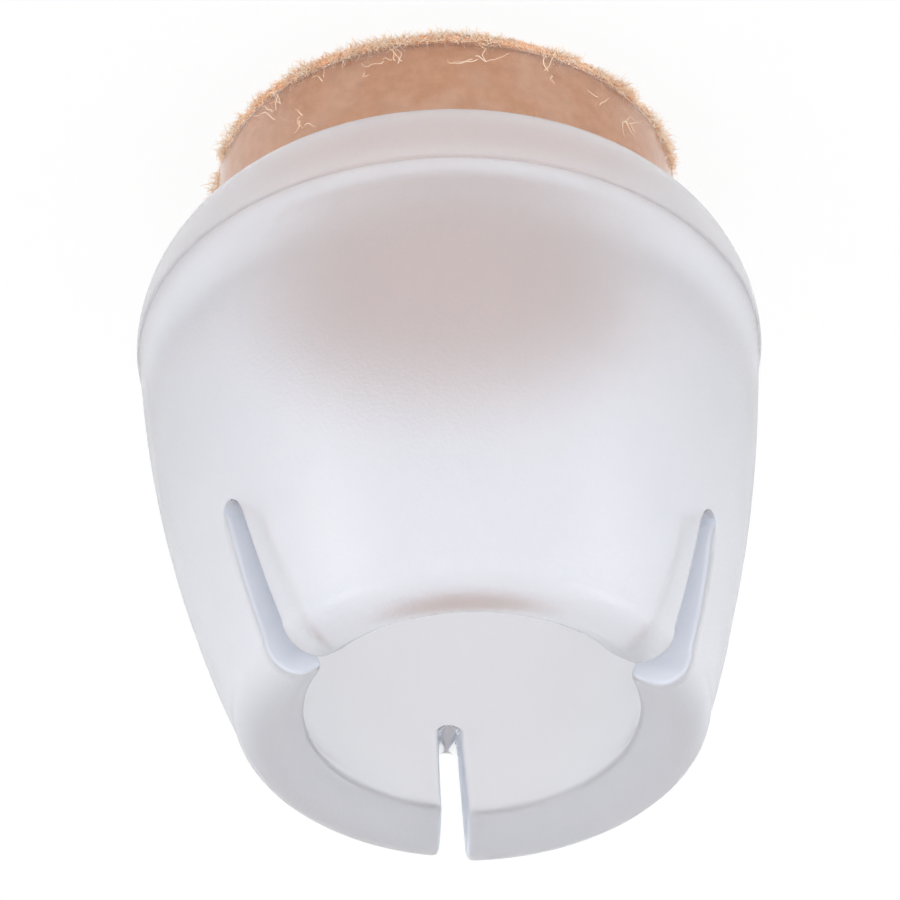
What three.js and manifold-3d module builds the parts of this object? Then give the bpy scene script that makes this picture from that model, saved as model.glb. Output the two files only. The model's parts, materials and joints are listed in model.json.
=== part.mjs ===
// Slip-on chair leg cap: a soft bell-shaped plastic shell with slit gripping lips and a felt foot.
// Millimetres. The felt's underside lies on z = 0, the cap's axis is Z and its mouth faces up.
import * as THREE from "three";
import { mergeVertices } from "three/addons/utils/BufferGeometryUtils.js";
import Module from "manifold-3d";

// Outer shell
const seamDiameter = 32; // widest part, at the seam between base cup and sleeve
const seamHeight = 11.7;
const seamStep = 0.15; // the sleeve stands back this far from the base cup's edge
const overallHeight = 35.5;
const mouthOuterDiameter = 23.6;
const sleeveBulge = 0.8; // how far the sleeve's outline swells out of a straight taper
const rimRound = 1.6; // rounding of the mouth's outer edge

// Socket for the leg
const mouthBoreDiameter = 16.2;
const leadInDrop = 1.3; // the end face falls this far from its rim to the bore
const seamWall = 3;
const rootWall = 2.4; // wall at the lips' roots
const seatDiameter = 18; // flat floor that the leg's end stands on
const seatThickness = 2.4; // plastic between the leg's end and the felt

// Slits and lips
const slitCount = 3;
const slitDepth = 8.7; // from the rim to the slit's round end
const slitEndWidth = 1.1;
const slitMouthWidth = 1.7;
const flexGap = 0.3; // gap that stands for the bending root of each lip

// Foot
const footDiameter = 23.7;
const footWall = 0.7;
const footHeight = 6; // underside of the shoulder
const footRimRound = 0.3;
const feltThickness = 5.5;
const feltProjection = 0.6; // felt that stands out below the foot ring
const feltClearance = 0.3;
const feltEdgeRound = 0.4;
const adhesiveThickness = 0.25;
const adhesiveInset = 0.4; // the film ends this far inside the felt's edge

// Facets
const facetsRound = 72;
const curveSteps = 10; // along each curved stretch of an outline
const cornerSteps = 4; // along each small rounding
const cutMargin = 2; // how far a cutting shape reaches past what it cuts

// Radii and heights that follow from the sizes above
const seamRadius = seamDiameter / 2;
const sleeveSeamRadius = seamRadius - seamStep;
const seamInnerRadius = sleeveSeamRadius - seamWall;
const mouthRadius = mouthOuterDiameter / 2;
const boreRadius = mouthBoreDiameter / 2;
const boreEdgeHeight = overallHeight - leadInDrop;
const wallTopHeight = overallHeight - rimRound;
const footRadius = footDiameter / 2;
const pocketRadius = footRadius - footWall;
const pocketHeight = feltThickness + adhesiveThickness;
const seatRadius = seatDiameter / 2;
const seatHeight = pocketHeight + seatThickness;
const feltRadius = pocketRadius - feltClearance;
const slitEndCentre = overallHeight - slitDepth + slitEndWidth / 2;
const lipRootHeight = slitEndCentre;

const wasm = await Module();
wasm.setup();

// A closed three.js geometry as a solid that can be joined and cut.
function solidFrom(geometry) {
  geometry.deleteAttribute("normal");
  geometry.deleteAttribute("uv");
  const merged = mergeVertices(geometry);
  const corners = merged.index.array;
  const triangles = [];
  for (let i = 0; i < corners.length; i += 3) {
    const [a, b, c] = corners.subarray(i, i + 3);
    if (a !== b && b !== c && c !== a) {
      triangles.push(a, b, c);
    }
  }
  const mesh = new wasm.Mesh({
    numProp: 3,
    vertProperties: merged.attributes.position.array,
    triVerts: new Uint32Array(triangles),
  });
  return new wasm.Manifold(mesh);
}

function namedMesh(name, solid, material) {
  const { vertProperties, triVerts } = solid.getMesh();
  const indexed = new THREE.BufferGeometry();
  indexed.setAttribute("position", new THREE.BufferAttribute(vertProperties, 3));
  indexed.setIndex(new THREE.BufferAttribute(triVerts, 1));
  const geometry = indexed.toNonIndexed();
  geometry.computeVertexNormals();
  const mesh = new THREE.Mesh(geometry, material);
  mesh.name = name;
  return mesh;
}

// A turned solid. The outline runs anticlockwise: out along the bottom, up outside, in and down inside.
function turned(outline) {
  const geometry = new THREE.LatheGeometry(outline, facetsRound);
  geometry.rotateX(Math.PI / 2);
  return solidFrom(geometry);
}

// Radius at one height on a taper between two ends that swells by a bulge half-way up.
function taperRadius(taper, height) {
  const share = (height - taper.low.y) / (taper.high.y - taper.low.y);
  const straight = THREE.MathUtils.lerp(taper.low.x, taper.high.x, share);
  return straight + 4 * taper.bulge * share * (1 - share);
}

function taperPoints(taper) {
  const points = [];
  for (let i = 0; i <= curveSteps; i++) {
    const height = THREE.MathUtils.lerp(taper.low.y, taper.high.y, i / curveSteps);
    points.push(new THREE.Vector2(taperRadius(taper, height), height));
  }
  return points;
}

// A stretch of ellipse between two directions, in the plane of radius and height.
function ellipsePoints(centre, radiusAcross, radiusUp, from, to, steps) {
  const curve = new THREE.EllipseCurve(centre.x, centre.y, radiusAcross, radiusUp, from, to, to < from);
  return curve.getPoints(steps);
}

const outerTaper = {
  low: new THREE.Vector2(sleeveSeamRadius, seamHeight),
  high: new THREE.Vector2(mouthRadius, wallTopHeight),
  bulge: sleeveBulge,
};

// The inside meets the seam, the lips' roots and the bore's edge, so its bulge follows from the root's wall.
function socketTaper() {
  const taper = {
    low: new THREE.Vector2(seamInnerRadius, seamHeight),
    high: new THREE.Vector2(boreRadius, boreEdgeHeight),
    bulge: 0,
  };
  const share = (lipRootHeight - seamHeight) / (boreEdgeHeight - seamHeight);
  const rootRadius = taperRadius(outerTaper, lipRootHeight) - rootWall;
  taper.bulge = (rootRadius - taperRadius(taper, lipRootHeight)) / (4 * share * (1 - share));
  return taper;
}

// The whole gripping wall from the seam to the mouth, before it is slit.
function grippingWall() {
  const rimCentre = new THREE.Vector2(mouthRadius - rimRound, wallTopHeight);
  const rim = ellipsePoints(rimCentre, rimRound, rimRound, 0, Math.PI / 2, cornerSteps);
  const outside = taperPoints(outerTaper);
  const inside = taperPoints(socketTaper()).reverse();
  return turned([...outside, ...rim.slice(1), ...inside, outside[0]]);
}

// One slit through the wall: a narrow V with a round end, pointing along -Y before it is turned.
function slitCutter(direction) {
  const slit = new THREE.Shape();
  slit.moveTo(slitMouthWidth / 2, overallHeight + cutMargin);
  slit.lineTo(-slitMouthWidth / 2, overallHeight + cutMargin);
  slit.lineTo(-slitMouthWidth / 2, overallHeight);
  slit.absarc(0, slitEndCentre, slitEndWidth / 2, Math.PI, 2 * Math.PI, false);
  slit.lineTo(slitMouthWidth / 2, overallHeight);
  const reach = seamRadius + cutMargin;
  const geometry = new THREE.ExtrudeGeometry(slit, {
    depth: reach,
    bevelEnabled: false,
    curveSegments: curveSteps,
  });
  geometry.rotateX(Math.PI / 2);
  geometry.rotateZ(direction + Math.PI / 2);
  return solidFrom(geometry);
}

// A wedge about the axis that holds one lip, from its root upwards.
function lipWedge(direction) {
  const halfAngle = Math.PI / slitCount;
  const wedge = new THREE.Shape();
  wedge.absarc(0, 0, seamDiameter, direction - halfAngle, direction + halfAngle, false);
  wedge.lineTo(0, 0);
  wedge.closePath();
  const bottom = lipRootHeight + flexGap / 2;
  const geometry = new THREE.ExtrudeGeometry(wedge, {
    depth: overallHeight + cutMargin - bottom,
    bevelEnabled: false,
    curveSegments: curveSteps,
  });
  geometry.translate(0, 0, bottom);
  return solidFrom(geometry);
}

// Everything above the sleeve's top edge.
function lipSpace() {
  const bottom = lipRootHeight - flexGap / 2;
  const tall = overallHeight + cutMargin - bottom;
  const wide = seamDiameter + 2 * cutMargin;
  const geometry = new THREE.BoxGeometry(wide, wide, tall);
  geometry.translate(0, 0, bottom + tall / 2);
  return solidFrom(geometry);
}

// Floor, shoulder and foot ring: the leg stands on its top face, the felt sits in its pocket.
function baseCup() {
  const quarter = Math.PI / 2;
  const rimTop = feltProjection + footRimRound;
  const rimInner = new THREE.Vector2(pocketRadius + footRimRound, rimTop);
  const rimOuter = new THREE.Vector2(footRadius - footRimRound, rimTop);
  const rimCurve = [footRimRound, footRimRound];
  const shoulderCentre = new THREE.Vector2(footRadius, seamHeight);
  const shoulderCurve = [seamRadius - footRadius, seamHeight - footHeight];
  const bowlCentre = new THREE.Vector2(seatRadius, seamHeight);
  const bowlCurve = [seamInnerRadius - seatRadius, seamHeight - seatHeight];
  return turned([
    new THREE.Vector2(0, pocketHeight),
    new THREE.Vector2(pocketRadius, pocketHeight),
    ...ellipsePoints(rimInner, ...rimCurve, 2 * quarter, 3 * quarter, cornerSteps),
    ...ellipsePoints(rimOuter, ...rimCurve, 3 * quarter, 4 * quarter, cornerSteps),
    ...ellipsePoints(shoulderCentre, ...shoulderCurve, 3 * quarter, 4 * quarter, curveSteps),
    ...ellipsePoints(bowlCentre, ...bowlCurve, 4 * quarter, 3 * quarter, curveSteps),
    new THREE.Vector2(0, seatHeight),
  ]);
}

function feltPad() {
  const edgeCentre = new THREE.Vector2(feltRadius - feltEdgeRound, feltEdgeRound);
  const edge = ellipsePoints(edgeCentre, feltEdgeRound, feltEdgeRound, -Math.PI / 2, 0, cornerSteps);
  return turned([
    new THREE.Vector2(0, 0),
    ...edge,
    new THREE.Vector2(feltRadius, feltThickness),
    new THREE.Vector2(0, feltThickness),
  ]);
}

function adhesiveDisc() {
  const radius = feltRadius - adhesiveInset;
  return turned([
    new THREE.Vector2(0, feltThickness),
    new THREE.Vector2(radius, feltThickness),
    new THREE.Vector2(radius, pocketHeight),
    new THREE.Vector2(0, pocketHeight),
  ]);
}

function frostedPlastic() {
  return new THREE.MeshStandardMaterial({ color: 0xe2e2e8, roughness: 0.55, metalness: 0 });
}

const clearPlastic = new THREE.MeshStandardMaterial({ color: 0xd4d4da, roughness: 0.2, metalness: 0 });
const tanFelt = new THREE.MeshStandardMaterial({ color: 0xc99a7e, roughness: 0.95, metalness: 0 });
const gumAdhesive = new THREE.MeshStandardMaterial({ color: 0xe6dcc0, roughness: 0.5, metalness: 0 });

// The first slit faces +Y, and the others follow evenly round the axis.
const slitAngle = (2 * Math.PI) / slitCount;
const firstSlit = Math.PI / 2;
let slitWall = grippingWall();
for (let i = 0; i < slitCount; i++) {
  slitWall = slitWall.subtract(slitCutter(firstSlit + i * slitAngle));
}

const cap = new THREE.Group();
cap.add(namedMesh("base_cup", baseCup(), clearPlastic));
cap.add(namedMesh("sleeve", slitWall.subtract(lipSpace()), frostedPlastic()));
for (let i = 0; i < slitCount; i++) {
  const middle = firstSlit + (i + 0.5) * slitAngle;
  const lip = slitWall.intersect(lipWedge(middle));
  cap.add(namedMesh(`grip_lip_${i + 1}`, lip, frostedPlastic()));
}
cap.add(namedMesh("adhesive_disc", adhesiveDisc(), gumAdhesive));
cap.add(namedMesh("felt_pad", feltPad(), tanFelt));

export default cap;
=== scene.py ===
"""Slip-on chair leg cap: a milky frosted plastic bell with three slit lips, standing on a felt foot."""

import json
import math
import random

import bmesh
import bpy
from mathutils import Matrix, Vector, noise


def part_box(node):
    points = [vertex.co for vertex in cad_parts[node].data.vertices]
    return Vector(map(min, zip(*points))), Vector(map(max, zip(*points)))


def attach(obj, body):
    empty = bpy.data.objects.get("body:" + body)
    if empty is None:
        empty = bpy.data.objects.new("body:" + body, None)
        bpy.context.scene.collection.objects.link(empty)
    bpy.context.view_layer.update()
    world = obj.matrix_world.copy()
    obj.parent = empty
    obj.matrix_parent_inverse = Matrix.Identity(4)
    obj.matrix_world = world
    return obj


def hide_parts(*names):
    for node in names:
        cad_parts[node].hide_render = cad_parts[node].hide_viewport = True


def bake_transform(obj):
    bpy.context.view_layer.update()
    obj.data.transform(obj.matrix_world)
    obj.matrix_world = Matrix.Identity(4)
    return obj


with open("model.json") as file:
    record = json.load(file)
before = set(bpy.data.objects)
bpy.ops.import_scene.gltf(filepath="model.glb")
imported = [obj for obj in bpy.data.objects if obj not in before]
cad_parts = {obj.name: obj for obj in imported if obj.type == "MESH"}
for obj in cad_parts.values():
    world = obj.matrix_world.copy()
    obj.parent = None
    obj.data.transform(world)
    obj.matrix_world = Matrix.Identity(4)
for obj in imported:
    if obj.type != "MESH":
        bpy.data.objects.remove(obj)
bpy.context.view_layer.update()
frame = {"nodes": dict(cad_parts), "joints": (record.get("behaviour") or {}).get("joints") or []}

MM = 0.001

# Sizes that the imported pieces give, from the corners of their boxes and from a lip's hinge
cup_low, cup_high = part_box("base_cup")
RIM_LOW = cup_low.z
SEAM_RADIUS = cup_high.x
SEAM_HEIGHT = cup_high.z
SLEEVE_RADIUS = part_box("sleeve")[1].x
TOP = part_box("grip_lip_2")[1].z
FELT_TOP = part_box("felt_pad")[1].z
FILM_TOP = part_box("adhesive_disc")[1].z
hinge_place = frame["joints"][0]["pos_m"]
SLIT_END_CENTRE = hinge_place[2]
ROOT_RADIUS = math.hypot(hinge_place[0], hinge_place[1])

# Walls and roundings inside those sizes
SEAM_WALL = 3 * MM
ROOT_WALL = 2.4 * MM
MOUTH_RADIUS = 11.8 * MM
BORE_RADIUS = 8.1 * MM
LEAD_IN_DROP = 1.3 * MM
RIM_ROUND = 1.6 * MM
SLEEVE_BULGE = 0.8 * MM
UPPER_FULLNESS = 0.11 * MM  # the soft wall swells by this much more two thirds of the way up
FOOT_RADIUS = 11.85 * MM
FOOT_HEIGHT = 6 * MM
FOOT_WALL = 0.7 * MM
FOOT_RIM_ROUND = 0.3 * MM
SEAT_RADIUS = 9 * MM
SEAT_THICKNESS = 2.4 * MM
SLIT_END_RADIUS = 0.55 * MM
SLIT_MOUTH_HALF = 0.7 * MM
BORE_ROUND = 0.5 * MM
SLIT_EDGE_ROUND = 0.38 * MM
SHOULDER_POWER = 1.82  # 2 would be a plain ellipse; the shoulder is a little flatter
LIP_COUNT = 3

# The film has wetted the plastic in the middle, so no air shows there; elsewhere its faces stay clear
FILM_GAP = 0.02 * MM
FILM_PRESS = 0.01 * MM
WETTED_RADIUS = 6.5 * MM
WETTED_EDGE = 0.5 * MM

WALL_TOP = TOP - RIM_ROUND
BORE_EDGE = TOP - LEAD_IN_DROP
LIP_ROOT = SLIT_END_CENTRE - SLIT_END_RADIUS
SEAM_INNER_RADIUS = SLEEVE_RADIUS - SEAM_WALL
POCKET_RADIUS = FOOT_RADIUS - FOOT_WALL
POCKET_TOP = FILM_TOP + FILM_GAP
WETTED_TOP = FILM_TOP - FILM_PRESS
SEAT_HEIGHT = FILM_TOP + SEAT_THICKNESS

# Set that the soft wall has taken from handling
LEAN = 0.71 * MM  # how far the mouth stands over to one side
LEAN_POWER = 1.5
LIP_SET = {1: 2.0, 3: 0.8}  # degrees that a lip stays bent outwards
LIP_BEND_HEIGHT = 3 * MM  # the root bends over this height

# At the slit between lips 1 and 3, which end of each lip lies there and how far it is drawn back at
# the rim; a negative length reaches further into the slit
LIP_SKEW = {1: (-1, -0.6 * MM), 3: (1, 0.25 * MM)}

# Facets
TURN_STEPS = 144
FELT_STEPS = 720
WALL_STEPS = 28
CURVE_STEPS = 16
CORNER_STEPS = 5
WELD = 0.001 * MM
SHARP_ANGLE = math.radians(35)

# Faces of the shell that differ, told by how nearly a normal points one way
LEVEL_FACE = 0.99
SLIT_FACE = 0.8
END_FACE = 0.5

# Camera that took the view: where it stands round the part, in degrees, and where it looks
CAMERA_AZIMUTH = 4.2
CAMERA_ELEVATION = 38.05
CAMERA_ROLL = -1.37
CAMERA_DISTANCE = 500 * MM
CAMERA_HEIGHT_AIMED_AT = 16.6 * MM
CAMERA_AIM_ACROSS = 0.08 * MM
CAMERA_AIM_UP = 1.0 * MM
CAMERA_LENS = 392.9
CAMERA_SENSOR = 36.0


def at(radius, height):
    """A point of an outline, in the plane of radius and height."""
    return Vector((radius, 0, height))


def arc(centre, across, up, start, end, steps, power=2):
    """A stretch of ellipse in the plane of radius and height, from one angle to another in degrees."""
    points = []
    for step in range(steps + 1):
        angle = math.radians(start + (end - start) * step / steps)
        out, rise = math.cos(angle), math.sin(angle)
        out = math.copysign(abs(out) ** (2 / power), out)
        rise = math.copysign(abs(rise) ** (2 / power), rise)
        points.append(centre + at(across * out, up * rise))
    return points


def mix(low, high, share):
    return low + (high - low) * share


def outside_radius(height):
    """The soft wall's outside, a taper that swells between the seam and the mouth."""
    share = (height - SEAM_HEIGHT) / (WALL_TOP - SEAM_HEIGHT)
    # The factors 4 and 27 / 4 bring each swell to its named size at its peak
    swell = 4 * SLEEVE_BULGE * share * (1 - share)
    fuller = 27 / 4 * UPPER_FULLNESS * share * share * (1 - share)
    return mix(SLEEVE_RADIUS, MOUTH_RADIUS, share) + swell + fuller


def inside_radius(height):
    """The socket's wall, which meets the seam, the lips' roots and the bore's edge."""
    root_share = (SLIT_END_CENTRE - SEAM_HEIGHT) / (BORE_EDGE - SEAM_HEIGHT)
    root_straight = mix(SEAM_INNER_RADIUS, BORE_RADIUS, root_share)
    bulge = (ROOT_RADIUS - ROOT_WALL - root_straight) / (root_share * (1 - root_share))
    share = (height - SEAM_HEIGHT) / (BORE_EDGE - SEAM_HEIGHT)
    return mix(SEAM_INNER_RADIUS, BORE_RADIUS, share) + bulge * share * (1 - share)


def slit_half_width(height):
    """Half the slit's width at its faces: a round end, and a narrow V above it."""
    above = height - SLIT_END_CENTRE
    if above < 0:
        return math.sqrt(max(0, SLIT_END_RADIUS**2 - above**2))
    return mix(SLIT_END_RADIUS, SLIT_MOUTH_HALF, above / (TOP - SLIT_END_CENTRE))


def ease(share):
    """Runs from 0 to 1 as share does, starting and ending gently."""
    share = min(max(share, 0), 1)
    return share * share * (3 - 2 * share)


# Modelling by hand


def take(piece):
    """Leaves this piece alone selected, ready for the next tool."""
    bpy.ops.object.select_all(action="DESELECT")
    piece.select_set(True)
    bpy.context.view_layer.objects.active = piece


def name_piece(name):
    piece = bpy.context.object
    piece.name = name
    piece.data.name = name
    return piece


def close_up(piece):
    """Merges the doubled points of a turned piece, points its faces outwards and smooths it."""
    bpy.ops.mesh.select_all(action="SELECT")
    bpy.ops.mesh.remove_doubles(threshold=WELD)
    bpy.ops.mesh.normals_make_consistent(inside=False)
    bpy.ops.object.mode_set(mode="OBJECT")
    take(piece)
    bpy.ops.object.shade_smooth_by_angle(angle=SHARP_ANGLE)


def turn_outline(name, outline, steps):
    """Draws an outline out of one vertex, then spins it all the way round the cap's axis."""
    bpy.ops.object.select_all(action="DESELECT")
    bpy.ops.mesh.primitive_plane_add(size=MM)
    piece = name_piece(name)
    bpy.ops.object.mode_set(mode="EDIT")
    bpy.ops.mesh.merge(type="CENTER")
    bpy.ops.transform.translate(value=outline[0])
    for before, after in zip(outline, outline[1:]):
        bpy.ops.mesh.extrude_region_move(TRANSFORM_OT_translate={"value": after - before})
    bpy.ops.mesh.select_all(action="SELECT")
    bpy.ops.mesh.remove_doubles(threshold=WELD)
    bpy.ops.mesh.spin(steps=steps, angle=2 * math.pi, center=(0, 0, 0), axis=(0, 0, 1))
    close_up(piece)
    return piece


def paint_faces(piece, materials, choose):
    """Gives each face the material that choose picks from the face's middle and normal."""
    for material in materials:
        piece.data.materials.append(material)
    for face in piece.data.polygons:
        face.material_index = materials.index(choose(face.center, face.normal))


def view_across():
    """The level direction that runs across the camera's view."""
    turn = math.radians(CAMERA_AZIMUTH)
    return Vector((math.cos(turn), math.sin(turn), 0))


def lean_over(piece):
    """Lets the soft wall stand over to one side, more towards the mouth."""
    for vertex in piece.data.vertices:
        share = max(0, (vertex.co.z - SEAM_HEIGHT) / (TOP - SEAM_HEIGHT))
        vertex.co -= view_across() * LEAN * share**LEAN_POWER


# Pieces


def make_base_shell(shell, core, ring, joint):
    """Seat, shoulder and foot ring in one moulding, with the felt's pocket below."""
    rim_height = RIM_LOW + FOOT_RIM_ROUND
    inner_rim = at(POCKET_RADIUS + FOOT_RIM_ROUND, rim_height)
    outer_rim = at(FOOT_RADIUS - FOOT_RIM_ROUND, rim_height)
    step = SEAM_RADIUS - SLEEVE_RADIUS
    edge_height = SEAM_HEIGHT - step
    shoulder = at(FOOT_RADIUS, edge_height)
    shoulder_out, shoulder_rise = SEAM_RADIUS - FOOT_RADIUS, edge_height - FOOT_HEIGHT
    edge = at(SLEEVE_RADIUS, edge_height)
    bowl = at(SEAT_RADIUS, SEAM_HEIGHT)
    bowl_out, bowl_depth = SEAM_INNER_RADIUS - SEAT_RADIUS, SEAM_HEIGHT - SEAT_HEIGHT
    outline = [
        at(0, WETTED_TOP),
        at(WETTED_RADIUS, WETTED_TOP),
        at(WETTED_RADIUS + WETTED_EDGE, POCKET_TOP),
        at(POCKET_RADIUS, POCKET_TOP),
        *arc(inner_rim, FOOT_RIM_ROUND, FOOT_RIM_ROUND, 180, 270, CORNER_STEPS),
        *arc(outer_rim, FOOT_RIM_ROUND, FOOT_RIM_ROUND, 270, 360, CORNER_STEPS),
        *arc(shoulder, shoulder_out, shoulder_rise, 270, 360, CURVE_STEPS, SHOULDER_POWER),
        *arc(edge, step, step, 0, 90, CORNER_STEPS)[1:],
        *arc(bowl, bowl_out, bowl_depth, 360, 270, CURVE_STEPS),
        at(0, SEAT_HEIGHT),
    ]
    piece = turn_outline("base_shell", outline, TURN_STEPS)

    def choose(centre, normal):
        if centre.z > SEAM_HEIGHT - WELD and centre.xy.length < SLEEVE_RADIUS:
            return joint
        if centre.z < FOOT_HEIGHT:
            return ring
        return core if normal.z > 0 and centre.xy.length < SEAM_INNER_RADIUS else shell

    paint_faces(piece, [shell, core, ring, joint], choose)
    return piece


def faces_axis(centre, normal):
    """True where a face of the wall looks in towards the cap's axis."""
    return centre.x * normal.x + centre.y * normal.y < 0


def make_sleeve_shell(shell, core, joint):
    """The soft wall between the seam and the ends of the slits."""
    heights = [mix(SEAM_HEIGHT, LIP_ROOT, step / WALL_STEPS) for step in range(WALL_STEPS + 1)]
    outside = [at(outside_radius(height), height) for height in heights]
    inside = [at(inside_radius(height), height) for height in reversed(heights)]
    piece = turn_outline("sleeve_shell", [*outside, *inside, outside[0]], TURN_STEPS)

    def choose(centre, normal):
        if abs(normal.z) > LEVEL_FACE:
            return joint
        return core if faces_axis(centre, normal) else shell

    paint_faces(piece, [shell, core, joint], choose)
    lean_over(piece)
    return piece


LIP_RIM_STEPS = 10
LIP_LEAD_IN_STEPS = 4
LIP_BORE_STEPS = 4
LIP_WALL_STEPS = 14
LIP_SPIN_STEPS = 48
SLIT_END_STEP = 15  # degrees round the slit's end
LIP_HALF_ANGLE = math.pi / LIP_COUNT
EDGE_SHARES = (0, 0.12, 0.4, 1)  # where the slit's rounded edge has its rows of points


def lip_end():
    """The lip's end in section: a round nose, a lead-in that slopes to the bore, a small round there."""
    nose = at(MOUTH_RADIUS - RIM_ROUND, WALL_TOP)
    bore_edge = at(BORE_RADIUS, BORE_EDGE)
    to_bore = bore_edge - nose
    swing = math.atan2(to_bore.z, to_bore.x) - math.acos(RIM_ROUND / to_bore.length)
    rim = arc(nose, RIM_ROUND, RIM_ROUND, 0, math.degrees(swing), LIP_RIM_STEPS)
    before = bore_edge + (rim[-1] - bore_edge).normalized() * BORE_ROUND
    below = BORE_EDGE - BORE_ROUND
    after = at(inside_radius(below), below)
    lead_in = [mix(rim[-1], before, step / LIP_LEAD_IN_STEPS) for step in range(1, LIP_LEAD_IN_STEPS)]
    corner = []
    for step in range(LIP_BORE_STEPS + 1):
        share = step / LIP_BORE_STEPS
        corner.append(mix(mix(before, bore_edge, share), mix(bore_edge, after, share), share))
    return [*rim, *lead_in, *corner]


def lip_heights(highest):
    """Heights of the rows up one side of a lip, close together round the slit's end."""
    heights = []
    for angle in range(0, 90, SLIT_END_STEP):
        heights.append(LIP_ROOT + SLIT_END_RADIUS * (1 - math.cos(math.radians(angle))))
    for step in range(LIP_WALL_STEPS):
        heights.append(mix(SLIT_END_CENTRE, highest, step / LIP_WALL_STEPS))
    return heights


def lip_section_mesh(piece):
    """Fills the piece with a lip's section: rings along its outline, and rungs across the middle."""
    end = lip_end()
    outside = [at(outside_radius(height), height) for height in lip_heights(end[0].z)]
    inside = [at(inside_radius(height), height) for height in lip_heights(end[-1].z)]
    outline = [*outside, *end, *reversed(inside)]
    drawing = bmesh.new()
    draw_back = drawing.verts.layers.float.new("draw_back")
    rings = []
    for share in EDGE_SHARES:
        ring = []
        for index, place in enumerate(outline):
            along = outline[(index + 1) % len(outline)] - outline[index - 1]
            inwards = at(-along.z, along.x).normalized()
            vertex = drawing.verts.new(place + inwards * SLIT_EDGE_ROUND * share)
            rounding = SLIT_EDGE_ROUND * ease((place.z - LIP_ROOT) / (2 * SLIT_END_RADIUS))
            edge_drop = rounding * (1 - math.sqrt(1 - (1 - share) ** 2))
            vertex[draw_back] = slit_half_width(vertex.co.z) + edge_drop
            ring.append(vertex)
        rings.append(ring)
    for outer, inner in zip(rings, rings[1:]):
        for index in range(len(outline)):
            drawing.faces.new((outer[index - 1], outer[index], inner[index], inner[index - 1]))
    middle = rings[-1]
    for rung in range(len(outside) - 1):
        drawing.faces.new((middle[rung], middle[rung + 1], middle[-rung - 2], middle[-rung - 1]))
    drawing.faces.new(middle[len(outside) - 1 : len(outside) + len(end) + 1])
    drawing.to_mesh(piece.data)
    drawing.free()


def make_soft_lip(number, middle, shell, core, joint, cut_face):
    """One gripping lip: its section spun through a third of a turn, then drawn back from the slits."""
    bpy.ops.object.select_all(action="DESELECT")
    bpy.ops.mesh.primitive_plane_add(size=MM)
    piece = name_piece(f"soft_lip_{number}")
    lip_section_mesh(piece)
    piece.data.transform(Matrix.Rotation(middle + LIP_HALF_ANGLE, 4, "Z"))  # spin turns clockwise
    bpy.ops.object.mode_set(mode="EDIT")
    bpy.ops.mesh.select_all(action="SELECT")
    bpy.ops.mesh.spin(steps=LIP_SPIN_STEPS, angle=2 * LIP_HALF_ANGLE, center=(0, 0, 0), axis=(0, 0, 1))
    close_up(piece)
    cut_back_from_slits(piece, middle, *LIP_SKEW.get(number, (1, 0)))

    def choose(centre, normal):
        if centre.z < LIP_ROOT + WELD and normal.z < -LEVEL_FACE:
            return joint
        outwards = Vector((centre.x, centre.y, 0)).normalized()
        if abs(outwards.cross(normal).z) > SLIT_FACE:
            return cut_face
        return core if faces_axis(centre, normal) and normal.z < END_FACE else shell

    paint_faces(piece, [shell, core, joint, cut_face], choose)
    bend_outwards(piece, middle, LIP_SET.get(number, 0))
    lean_over(piece)
    return piece


def angle_from(middle, place):
    """How far round from a lip's middle a point lies, from -180 to 180 degrees, in radians."""
    return math.remainder(math.atan2(place.y, place.x) - middle, 2 * math.pi)


def cut_back_from_slits(piece, middle, skewed_end, skew):
    """Draws a lip's two ends back so that each slit's faces lie side by side, with one end askew."""
    draw_back = piece.data.attributes["draw_back"]
    for vertex in piece.data.vertices:
        radius = math.hypot(vertex.co.x, vertex.co.y)
        share = angle_from(middle, vertex.co) / LIP_HALF_ANGLE
        depth = draw_back.data[vertex.index].value
        if share * skewed_end > 0:
            depth += skew * max(0, (vertex.co.z - SLIT_END_CENTRE) / (TOP - SLIT_END_CENTRE))
        turned = middle + share * (LIP_HALF_ANGLE - math.asin(depth / radius))
        vertex.co = Vector((radius * math.cos(turned), radius * math.sin(turned), vertex.co.z))
    piece.data.attributes.remove(draw_back)


def bend_outwards(piece, middle, degrees):
    """Leaves a lip bent outwards about its root, as handling has left it."""
    outwards = Vector((math.cos(middle), math.sin(middle), 0))
    hinge_line = Vector((0, 0, 1)).cross(outwards)
    pivot = outwards * ROOT_RADIUS + Vector((0, 0, SLIT_END_CENTRE))
    for vertex in piece.data.vertices:
        share = ease((vertex.co.z - LIP_ROOT) / LIP_BEND_HEIGHT)
        turn = Matrix.Rotation(math.radians(degrees) * share, 3, hinge_line)
        vertex.co = pivot + turn @ (vertex.co - pivot)


# Felt that stands out of the pocket
FELT_SPREAD = 0.55 * MM  # how far it spreads under the foot ring
FELT_BELOW_RING = 0.03 * MM
FELT_SHOWN = RIM_LOW - FELT_BELOW_RING
FELT_FLANK_ROUND = 0.25 * MM
FELT_LUMPS = 0.25 * MM
FELT_LUMP_HEIGHT = 0.22 * MM
FELT_PRESS = 0.02 * MM  # it is pressed this far into the ring, so no air shows between them
FELT_NECK_RADIUS = POCKET_RADIUS + FELT_PRESS
FELT_WIDE_RADIUS = FELT_NECK_RADIUS + FELT_SPREAD
FELT_FACE_STEPS = 12
FELT_NECK_STEPS = 8


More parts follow.
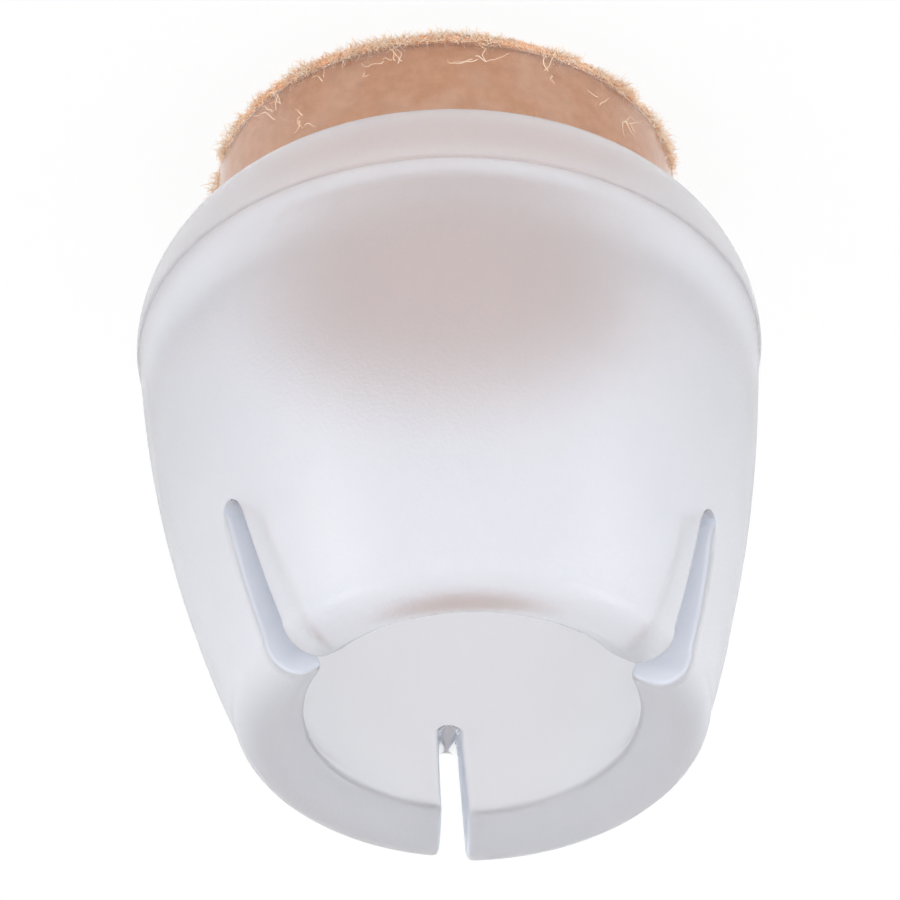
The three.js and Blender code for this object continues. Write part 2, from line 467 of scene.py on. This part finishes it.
def make_felt_disc(felt):
    """Pressed felt that fills the pocket and spreads a little below the foot ring."""
    flank_radius = FELT_WIDE_RADIUS - FELT_FLANK_ROUND
    low = at(flank_radius, FELT_FLANK_ROUND)
    high = at(flank_radius, FELT_SHOWN - FELT_FLANK_ROUND)
    top = FELT_TOP - FILM_GAP
    face = [at(mix(0, low.x, step / FELT_FACE_STEPS), 0) for step in range(FELT_FACE_STEPS)]
    neck = []
    for step in range(FELT_NECK_STEPS + 1):
        neck.append(at(FELT_NECK_RADIUS, mix(FELT_SHOWN, top, step / FELT_NECK_STEPS)))
    outline = [
        *face,
        *arc(low, FELT_FLANK_ROUND, FELT_FLANK_ROUND, -90, 0, CORNER_STEPS),
        *arc(high, FELT_FLANK_ROUND, FELT_FLANK_ROUND, 0, 90, CORNER_STEPS),
        *neck,
        at(0, top),
    ]
    piece = turn_outline("felt_disc", outline, FELT_STEPS)
    flank = piece.vertex_groups.new(name="flank")
    shown = []
    for vertex in piece.data.vertices:
        radius = math.hypot(vertex.co.x, vertex.co.y)
        if WELD < vertex.co.z < FELT_SHOWN and radius > FELT_NECK_RADIUS:
            shown.append(vertex.index)
    flank.add(shown, 1, "REPLACE")
    lumps = bpy.data.textures.new("felt_lumps", "CLOUDS")
    lumps.noise_scale = FELT_LUMPS
    push = piece.modifiers.new("lumps", "DISPLACE")
    push.texture = lumps
    push.texture_coords = "LOCAL"
    push.vertex_group = "flank"
    push.strength = FELT_LUMP_HEIGHT
    take(piece)
    bpy.ops.object.modifier_apply(modifier="lumps")
    for vertex in piece.data.vertices:
        vertex.co.z = max(vertex.co.z, 0)
    piece.data.materials.append(felt)
    return piece


FIBRE_RADIUS = 0.024 * MM
FIBRE_TAPER = 0.6  # share of its thickness that a fibre loses towards its tip
FIBRE_FLOOR = 0.03 * MM  # the fibres lie on the floor and not in it

# Fibres that stand out of the felt's cut edge: most are matted and short, a few loose and longer
FUZZ_SEED = 11
MATTED_COUNT = 7000
MATTED_LENGTHS = (0.3, 0.7)  # mm
MATTED_STEPS = 2
LOOSE_COUNT = 600
LOOSE_LENGTHS = (0.5, 1.1)  # mm
LOOSE_STEPS = 5
FUZZ_CURL = 0.6
FUZZ_OUTWARDS = 1.2  # how far they head outwards, where the spread along the edge is 1
FUZZ_LIFT = 0.45  # and how far upwards, over the ring's rim
FUZZ_LIFT_SPREAD = 0.6
FUZZ_LOWEST = 0.05  # share of the shown height where the lowest stand
FUZZ_ROOT_DEPTH = 0.2  # mm
TUFT_SPACING = 2 * MM

# Lint that clings to the foot ring
LINT_SEED = 5
RING_CLEARANCE = 0.03 * MM
LINT_STEPS = 8
LINT_CURL = 0.35
LINT_TURN_SPREAD = 0.02  # radians
LINT_HEIGHT_SPREAD = 0.2  # mm
LINT_SLOPE = 0.7
LINT_REACH = (0.7, 1.2)  # shares of the length

# Degrees round from the front, height, number of fibres and their length
RING_LINT = [
    (50, 2.0 * MM, 6, 1.6 * MM),
    (41, 3.6 * MM, 4, 1.3 * MM),
    (35, 1.6 * MM, 2, 0.8 * MM),
    (24, 2.5 * MM, 2, 0.4 * MM),
    (17, 1.6 * MM, 5, 1.2 * MM),
    (-4, 1.8 * MM, 4, 2.0 * MM),
    (-22, 1.7 * MM, 4, 1.6 * MM),
    (-37, 2.6 * MM, 2, 0.9 * MM),
    (-49, 2.6 * MM, 5, 1.5 * MM),
    (-120, 1.9 * MM, 4, 1.4 * MM),
    (130, 2.2 * MM, 5, 1.2 * MM),
    (175, 1.7 * MM, 3, 1.7 * MM),
]


def wandering_path(draw, root, heading, length, steps, curl, clear_of=0):
    """Points along one fibre that wanders from its root, above the floor and clear of a round wall."""
    path = [root]
    for _ in range(steps):
        wander = Vector([draw.gauss(0, curl) for _ in range(3)])
        heading = (heading + wander).normalized()
        place = path[-1] + heading * (length / steps)
        place.z = max(place.z, FIBRE_FLOOR)
        radius = math.hypot(place.x, place.y)
        if radius < clear_of:
            place.xy *= clear_of / radius
        path.append(place)
    return path


def make_fibres(name, paths, fibre):
    """Draws each path as a thin hair that tapers to its tip."""
    hairs = bpy.data.curves.new(name, "CURVE")
    hairs.dimensions = "3D"
    hairs.bevel_depth = FIBRE_RADIUS
    hairs.bevel_resolution = 0
    hairs.use_fill_caps = True
    for path in paths:
        spline = hairs.splines.new("POLY")
        spline.points.add(len(path) - 1)
        for index, (point, place) in enumerate(zip(spline.points, path)):
            point.co = (*place, 1)
            point.radius = 1 - FIBRE_TAPER * index / (len(path) - 1)
    piece = bpy.data.objects.new(name, hairs)
    bpy.context.scene.collection.objects.link(piece)
    take(piece)
    bpy.ops.object.convert(target="MESH")
    piece = name_piece(name)
    bpy.ops.object.shade_smooth()
    piece.data.materials.clear()
    piece.data.materials.append(fibre)
    return piece


def round_frame(angle):
    """The directions outwards and along the edge at one angle round the cap."""
    outwards = Vector((math.cos(angle), math.sin(angle), 0))
    return outwards, Vector((-outwards.y, outwards.x, 0))


def make_felt_fuzz(fibre):
    """Matted and loose ends of the felt that stand out of its cut edge all the way round."""
    draw = random.Random(FUZZ_SEED)
    paths = []
    for number in range(MATTED_COUNT + LOOSE_COUNT):
        loose = number >= MATTED_COUNT
        outwards, along = round_frame(draw.uniform(0, 2 * math.pi))
        tuft = 1 + noise.noise(outwards * (FELT_WIDE_RADIUS / TUFT_SPACING))
        height = draw.uniform(FUZZ_LOWEST, 1) * FELT_SHOWN
        root_radius = FELT_WIDE_RADIUS - draw.uniform(0, FUZZ_ROOT_DEPTH) * MM
        root = outwards * root_radius + Vector((0, 0, height))
        lift = Vector((0, 0, draw.gauss(FUZZ_LIFT, FUZZ_LIFT_SPREAD)))
        heading = (outwards * FUZZ_OUTWARDS + along * draw.gauss(0, 1) + lift).normalized()
        length = draw.uniform(*(LOOSE_LENGTHS if loose else MATTED_LENGTHS)) * tuft * MM
        steps = LOOSE_STEPS if loose else MATTED_STEPS
        paths.append(wandering_path(draw, root, heading, length, steps, FUZZ_CURL))
    return make_fibres("felt_fuzz", paths, fibre)


def make_ring_lint(fibre):
    """Felt fibres that have come loose and cling to the outside of the foot ring."""
    draw = random.Random(LINT_SEED)
    radius = FOOT_RADIUS + RING_CLEARANCE
    paths = []
    for degrees, height, count, length in RING_LINT:
        for _ in range(count):
            turn = math.radians(degrees - 90) + draw.gauss(0, LINT_TURN_SPREAD)
            outwards, along = round_frame(turn)
            rise = height + draw.gauss(0, LINT_HEIGHT_SPREAD) * MM
            root = outwards * radius + Vector((0, 0, rise))
            slope = along * draw.gauss(0, 1) + Vector((0, 0, draw.gauss(0, LINT_SLOPE)))
            reach = length * draw.uniform(*LINT_REACH)
            heading = slope.normalized()
            paths.append(wandering_path(draw, root, heading, reach, LINT_STEPS, LINT_CURL, radius))
    return make_fibres("ring_lint", paths, fibre)


# Materials

PVC_IOR = 1.5
WALL_CLEARNESS = 0.78
# The base moulding is a milkier copy of the wall's plastic, so that its shoulder, which faces the
# floor's shade, renders lighter: painted light
BASE_CLEARNESS = 0.69


def linear(colour):
    """An sRGB hex colour as the linear values that a shader takes."""
    shares = [int(colour[start : start + 2], 16) / 255 for start in (1, 3, 5)]
    return (*[s / 12.92 if s <= 0.04045 else ((s + 0.055) / 1.055) ** 2.4 for s in shares], 1)


def add_node(tree, kind, inputs=None, **settings):
    """Adds a node with its settings; an input is a value, or the socket that feeds it."""
    made = tree.nodes.new(kind)
    for name, value in settings.items():
        setattr(made, name, value)
    for socket, value in (inputs or {}).items():
        if isinstance(value, bpy.types.NodeSocket):
            tree.links.new(value, made.inputs[socket])
        else:
            made.inputs[socket].default_value = value
    return made


def blank_material(name):
    material = bpy.data.materials.new(name)
    material.use_nodes = True
    material.node_tree.nodes.clear()
    return material, material.node_tree


def per_metre(size):
    """The scale of a pattern whose marks are this far apart."""
    return 1 / size


def frosted_elastomer(name, clearness):
    """Soft PVC moulded in an etched tool: milky, see-through only as a blur, with a fine matt grain."""
    material, tree = blank_material(name)
    place = add_node(tree, "ShaderNodeTexCoord").outputs["Object"]
    cloud = add_node(
        tree, "ShaderNodeTexNoise", {"Vector": place, "Scale": per_metre(6 * MM), "Detail": 3}
    )
    tint = add_node(tree, "ShaderNodeValToRGB", {"Fac": cloud.outputs["Fac"]})
    tint.color_ramp.elements[0].color = linear("#F2F5FD")
    tint.color_ramp.elements[1].color = linear("#FAFBFF")
    matt = add_node(
        tree,
        "ShaderNodeMapRange",
        {"Value": cloud.outputs["Fac"], "To Min": 0.32, "To Max": 0.44},
    )
    # An etched grain is finer than this; it is drawn as coarse as it needs to show
    grain = add_node(
        tree, "ShaderNodeTexNoise", {"Vector": place, "Scale": per_metre(0.18 * MM), "Detail": 2}
    )
    bump = add_node(
        tree,
        "ShaderNodeBump",
        {"Height": grain.outputs["Fac"], "Strength": 0.6, "Distance": 0.04 * MM},
    )
    surface = add_node(
        tree,
        "ShaderNodeBsdfPrincipled",
        {
            "Base Color": tint.outputs["Color"],
            "Roughness": matt.outputs["Result"],
            "Normal": bump.outputs["Normal"],
            "IOR": PVC_IOR,
            "Transmission Weight": clearness,
        },
    )
    add_node(tree, "ShaderNodeOutputMaterial", {"Surface": surface.outputs["BSDF"]})
    return material


def smooth_elastomer():
    """The same soft PVC where it left a smooth core: clearer than the outside, with a silky gloss."""
    material, tree = blank_material("smooth_soft_pvc")
    place = add_node(tree, "ShaderNodeTexCoord").outputs["Object"]
    cloud = add_node(
        tree, "ShaderNodeTexNoise", {"Vector": place, "Scale": per_metre(4 * MM), "Detail": 3}
    )
    silk = add_node(
        tree,
        "ShaderNodeMapRange",
        {"Value": cloud.outputs["Fac"], "To Min": 0.24, "To Max": 0.36},
    )
    surface = add_node(
        tree,
        "ShaderNodeBsdfPrincipled",
        {
            "Base Color": linear("#FAFAFD"),
            "Roughness": silk.outputs["Result"],
            "IOR": PVC_IOR,
            "Transmission Weight": 0.98,
        },
    )
    add_node(tree, "ShaderNodeOutputMaterial", {"Surface": surface.outputs["BSDF"]})
    return material


def slit_elastomer_painted_blue_shade():
    """Faces inside the slits: from outside matt, milky and tinted blue, from within the wall clear. The
    blue tint and the extra milkiness are painted light and shade, standing in for light scattered
    through the plastic into the narrow slits.
    """
    material, tree = blank_material("matt_slit_pvc_painted_blue_shade")
    place = add_node(tree, "ShaderNodeTexCoord").outputs["Object"]
    cloud = add_node(
        tree, "ShaderNodeTexNoise", {"Vector": place, "Scale": per_metre(1.5 * MM), "Detail": 3}
    )
    tint = add_node(tree, "ShaderNodeValToRGB", {"Fac": cloud.outputs["Fac"]})
    # Painted shade: a bluer tint than the wall's, standing in for the bluish light that scatters through
    # the plastic into the narrow slits
    tint.color_ramp.elements[0].color = linear("#E6ECF8")
    tint.color_ramp.elements[1].color = linear("#EFF3FC")
    milky = add_node(
        tree,
        "ShaderNodeBsdfPrincipled",
        {
            "Base Color": tint.outputs["Color"],
            "Roughness": 0.6,
            "IOR": PVC_IOR,
            "Transmission Weight": 0.42,
        },
    )
    clear = add_node(
        tree,
        "ShaderNodeBsdfPrincipled",
        {"Base Color": linear("#FFFFFF"), "Roughness": 0.3, "IOR": PVC_IOR, "Transmission Weight": 1},
    )
    from_within = add_node(tree, "ShaderNodeNewGeometry").outputs["Backfacing"]
    surface = add_node(
        tree,
        "ShaderNodeMixShader",
        {"Fac": from_within, 1: milky.outputs["BSDF"], 2: clear.outputs["BSDF"]},
    )
    add_node(tree, "ShaderNodeOutputMaterial", {"Surface": surface.outputs["Shader"]})
    return material


def clear_foot_plastic():
    """The same plastic moulded against polished steel: clear and glossy, so the felt shows through.
    Noisy patches where it is a little less clear render paler, as painted reflection in place of the
    lamps' reflections; the same noise varies its gloss.
    """
    material, tree = blank_material("polished_clear_pvc")
    place = add_node(tree, "ShaderNodeTexCoord").outputs["Object"]
    gloss_and_painted_reflection = add_node(
        tree, "ShaderNodeTexNoise", {"Vector": place, "Scale": per_metre(3 * MM), "Detail": 3}
    )
    # Painted reflection: where the noise is low the ring passes less light and shows paler patches in
    # place of lamps' reflections
    clarity = add_node(
        tree,
        "ShaderNodeMapRange",
        {
            "Value": gloss_and_painted_reflection.outputs["Fac"],
            "From Min": 0.42,
            "From Max": 0.55,
            "To Min": 0.96,
            "To Max": 1,
        },
    )
    gloss = add_node(
        tree,
        "ShaderNodeMapRange",
        {"Value": gloss_and_painted_reflection.outputs["Fac"], "To Min": 0.04, "To Max": 0.16},
    )
    surface = add_node(
        tree,
        "ShaderNodeBsdfPrincipled",
        {
            "Base Color": linear("#FEFDFC"),
            "Roughness": gloss.outputs["Result"],
            "IOR": PVC_IOR,
            "Transmission Weight": clarity.outputs["Result"],
        },
    )
    add_node(tree, "ShaderNodeOutputMaterial", {"Surface": surface.outputs["BSDF"]})
    return material


def bonded_joint():
    """Where two halves of one moulding meet inside the plastic there is nothing to see."""
    material, tree = blank_material("bonded_joint")
    clear = add_node(tree, "ShaderNodeBsdfTransparent")
    add_node(tree, "ShaderNodeOutputMaterial", {"Surface": clear.outputs["BSDF"]})
    return material


def tan_felt():
    """Needled wool-blend felt: matt and tan, mottled by clumps of fibre about a millimetre across."""
    material, tree = blank_material("needled_tan_felt")
    place = add_node(tree, "ShaderNodeTexCoord").outputs["Object"]
    clumps = add_node(
        tree, "ShaderNodeTexNoise", {"Vector": place, "Scale": per_metre(0.6 * MM), "Detail": 5}
    )
    tint = add_node(tree, "ShaderNodeValToRGB", {"Fac": clumps.outputs["Fac"]})
    tint.color_ramp.elements[0].position = 0.3
    tint.color_ramp.elements[0].color = linear("#E3A880")
    tint.color_ramp.elements[1].position = 0.7
    tint.color_ramp.elements[1].color = linear("#EFBA95")
    # Single fibres are finer than this; they are drawn as coarse as they need to show
    hairs = add_node(
        tree, "ShaderNodeTexNoise", {"Vector": place, "Scale": per_metre(0.12 * MM), "Detail": 4}
    )
    bump = add_node(
        tree,
        "ShaderNodeBump",
        {"Height": hairs.outputs["Fac"], "Strength": 0.8, "Distance": 0.08 * MM},
    )
    surface = add_node(
        tree,
        "ShaderNodeBsdfPrincipled",
        {
            "Base Color": tint.outputs["Color"],
            "Roughness": 0.95,
            "Normal": bump.outputs["Normal"],
            "Sheen Weight": 0.3,
        },
    )
    add_node(tree, "ShaderNodeOutputMaterial", {"Surface": surface.outputs["BSDF"]})
    return material


def felt_fibre_painted_pale():
    """Single felt fibres, painted far paler than the pressed felt: painted light that lifts them out of
    the shade beside the floor, standing in also for the light that passes between them.
    """
    material, tree = blank_material("loose_felt_fibre")
    place = add_node(tree, "ShaderNodeTexCoord").outputs["Object"]
    tufts = add_node(
        tree, "ShaderNodeTexNoise", {"Vector": place, "Scale": per_metre(0.7 * MM), "Detail": 2}
    )
    tint = add_node(tree, "ShaderNodeValToRGB", {"Fac": tufts.outputs["Fac"]})
    # Painted light: near-white creams, far paler than the felt's tan, so the fibres read lighter where
    # the floor shades them
    tint.color_ramp.elements[0].position = 0.3
    tint.color_ramp.elements[0].color = linear("#FFD9B4")
    tint.color_ramp.elements[1].position = 0.7
    tint.color_ramp.elements[1].color = linear("#FFF4E4")
    surface = add_node(
        tree,
        "ShaderNodeBsdfPrincipled",
        {"Base Color": tint.outputs["Color"], "Roughness": 0.7, "Sheen Weight": 0.2},
    )
    add_node(tree, "ShaderNodeOutputMaterial", {"Surface": surface.outputs["BSDF"]})
    return material


def transfer_adhesive():
    """Clear acrylic transfer film wetted into the felt, so it shows the felt's tan, a little darker."""
    material, tree = blank_material("acrylic_transfer_film")
    place = add_node(tree, "ShaderNodeTexCoord").outputs["Object"]
    wetting = add_node(
        tree, "ShaderNodeTexNoise", {"Vector": place, "Scale": per_metre(0.8 * MM), "Detail": 4}
    )
    tint = add_node(tree, "ShaderNodeValToRGB", {"Fac": wetting.outputs["Fac"]})
    tint.color_ramp.elements[0].position = 0.35
    tint.color_ramp.elements[0].color = linear("#F4B08A")
    tint.color_ramp.elements[1].position = 0.65
    tint.color_ramp.elements[1].color = linear("#FBC9AA")
    surface = add_node(
        tree,
        "ShaderNodeBsdfPrincipled",
        {"Base Color": tint.outputs["Color"], "Roughness": 0.4, "IOR": 1.47},
    )
    add_node(tree, "ShaderNodeOutputMaterial", {"Surface": surface.outputs["BSDF"]})
    return material


# Floor, light and camera

FLOOR_SIDE = 6
SEEN_WHITE = 0.9  # share of the floor's look that is plain white; the rest takes the part's shadow
HORIZON_LIGHT = 1.38
OVERHEAD_LIGHT = 1.04
OVERHEAD_FROM = 0.9  # height on a sphere of radius 1 above which the light is the same


def seen_directly(tree):
    """1 for rays that show the background: to the camera, in gloss and through clear plastic."""
    path = add_node(tree, "ShaderNodeLightPath")
    gloss = add_node(
        tree,
        "ShaderNodeMath",
        {0: path.outputs["Is Camera Ray"], 1: path.outputs["Is Glossy Ray"]},
        operation="MAXIMUM",
    )
    seen = add_node(
        tree,
        "ShaderNodeMath",
        {0: gloss.outputs[0], 1: path.outputs["Is Transmission Ray"]},
        operation="MAXIMUM",
    )
    return seen.outputs[0]


def make_floor():
    bpy.ops.object.select_all(action="DESELECT")
    bpy.ops.mesh.primitive_plane_add(size=FLOOR_SIDE)
    floor = name_piece("floor")
    material, tree = blank_material("white_paper_floor")
    paper = add_node(tree, "ShaderNodeBsdfDiffuse", {"Color": linear("#F8F8F8")})
    glow = add_node(tree, "ShaderNodeEmission", {"Color": (1, 1, 1, 1), "Strength": 1})
    share = add_node(
        tree, "ShaderNodeMath", {0: seen_directly(tree), 1: SEEN_WHITE}, operation="MULTIPLY"
    )
    both = add_node(
        tree,
        "ShaderNodeMixShader",
        {"Fac": share.outputs[0], 1: paper.outputs["BSDF"], 2: glow.outputs["Emission"]},
    )
    add_node(tree, "ShaderNodeOutputMaterial", {"Surface": both.outputs["Shader"]})
    floor.data.materials.append(material)


def make_world():
    """Soft light all round, brighter at the horizon than overhead, seen as plain white."""
    world = bpy.data.worlds.new("studio")
    bpy.context.scene.world = world
    world.use_nodes = True
    tree = world.node_tree
    tree.nodes.clear()
    place = add_node(tree, "ShaderNodeTexCoord").outputs["Generated"]
    height = add_node(tree, "ShaderNodeSeparateXYZ", {"Vector": place}).outputs["Z"]
    tone = add_node(
        tree,
        "ShaderNodeMapRange",
        {
            "Value": height,
            "From Max": OVERHEAD_FROM,
            "To Min": HORIZON_LIGHT,
            "To Max": OVERHEAD_LIGHT,
        },
    )
    light = add_node(
        tree, "ShaderNodeBackground", {"Color": (1, 1, 1, 1), "Strength": tone.outputs["Result"]}
    )
    white = add_node(tree, "ShaderNodeBackground", {"Color": (1, 1, 1, 1), "Strength": 1})
    both = add_node(
        tree,
        "ShaderNodeMixShader",
        {"Fac": seen_directly(tree), 1: light.outputs[0], 2: white.outputs[0]},
    )
    add_node(tree, "ShaderNodeOutputWorld", {"Surface": both.outputs["Shader"]})


SOFTBOX_SIDE = 0.3
SOFTBOX_DISTANCE = 1.1
SOFTBOX_POWER = 3
SOFTBOX_AZIMUTH = 60  # degrees to either side of the front
SOFTBOX_ELEVATION = 6


def make_softbox(name, azimuth, elevation):
    turn, rise = math.radians(azimuth), math.radians(elevation)
    level = math.cos(rise)
    back = Vector((math.sin(turn) * level, -math.cos(turn) * level, math.sin(rise)))
    facing = back.to_track_quat("Z", "Y").to_euler()
    bpy.ops.object.select_all(action="DESELECT")
    bpy.ops.object.light_add(type="AREA", location=back * SOFTBOX_DISTANCE, rotation=facing)
    lamp = bpy.context.object
    lamp.name = name
    lamp.data.size = SOFTBOX_SIDE
    lamp.data.energy = SOFTBOX_POWER
    lamp.visible_camera = False


def make_camera():
    """Stands where the picture was taken from, rolled so that the mouth hangs down in the frame."""
    rise, roll = math.radians(CAMERA_ELEVATION), math.radians(CAMERA_ROLL)
    across = view_across()
    level_back = Vector((across.y, -across.x, 0))
    back = level_back * math.cos(rise) + Vector((0, 0, math.sin(rise)))
    up = Vector((0, 0, math.cos(rise))) - level_back * math.sin(rise)
    place = Vector((0, 0, CAMERA_HEIGHT_AIMED_AT)) + back * CAMERA_DISTANCE
    aim = Vector((0, 0, CAMERA_HEIGHT_AIMED_AT)) + across * CAMERA_AIM_ACROSS + up * CAMERA_AIM_UP
    frame_back = (place - aim).normalized()
    frame_up = across * math.sin(roll) - up * math.cos(roll)
    frame_right = frame_up.cross(frame_back).normalized()
    frame_up = frame_back.cross(frame_right)
    facing = Matrix((frame_right, frame_up, frame_back)).transposed().to_euler()
    bpy.ops.object.camera_add(location=place, rotation=facing)
    camera = bpy.context.object
    camera.data.lens = CAMERA_LENS
    camera.data.sensor_width = CAMERA_SENSOR
    bpy.context.scene.camera = camera


# Putting it together

make_camera()
make_floor()
make_world()
make_softbox("softbox_left", SOFTBOX_AZIMUTH, SOFTBOX_ELEVATION)
make_softbox("softbox_right", -SOFTBOX_AZIMUTH, SOFTBOX_ELEVATION)
bpy.context.scene.view_settings.view_transform = "Standard"

shell = frosted_elastomer("frosted_soft_pvc", WALL_CLEARNESS)
core = smooth_elastomer()
# Painted light: the base's copy of the plastic is milkier so its shaded shoulder renders lighter
base_pvc_painted_light = frosted_elastomer("milky_base_pvc_painted_light", BASE_CLEARNESS)
ring = clear_foot_plastic()
joint = bonded_joint()
# Painted shade: the slit faces get a lighter, bluer copy of the plastic in place of the light scattered
# into the slits
cut_face = slit_elastomer_painted_blue_shade()
fibre = felt_fibre_painted_pale()

base_shell = make_base_shell(base_pvc_painted_light, core, ring, joint)
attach(base_shell, "cap")
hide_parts("base_cup")

sleeve_shell = make_sleeve_shell(shell, core, joint)
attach(sleeve_shell, "cap")
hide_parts("sleeve")

for number in range(1, LIP_COUNT + 1):
    middle = math.radians(90) + (2 * number - 1) * LIP_HALF_ANGLE
    lip = make_soft_lip(number, middle, shell, core, joint, cut_face)
    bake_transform(lip)
    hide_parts(f"grip_lip_{number}")

felt_disc = make_felt_disc(tan_felt())
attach(felt_disc, "cap")
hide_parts("felt_pad")

for loose_piece in (make_felt_fuzz(fibre), make_ring_lint(fibre)):
    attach(loose_piece, "cap")

film = frame["nodes"]["adhesive_disc"]
film.data.materials.clear()
film.data.materials.append(transfer_adhesive())
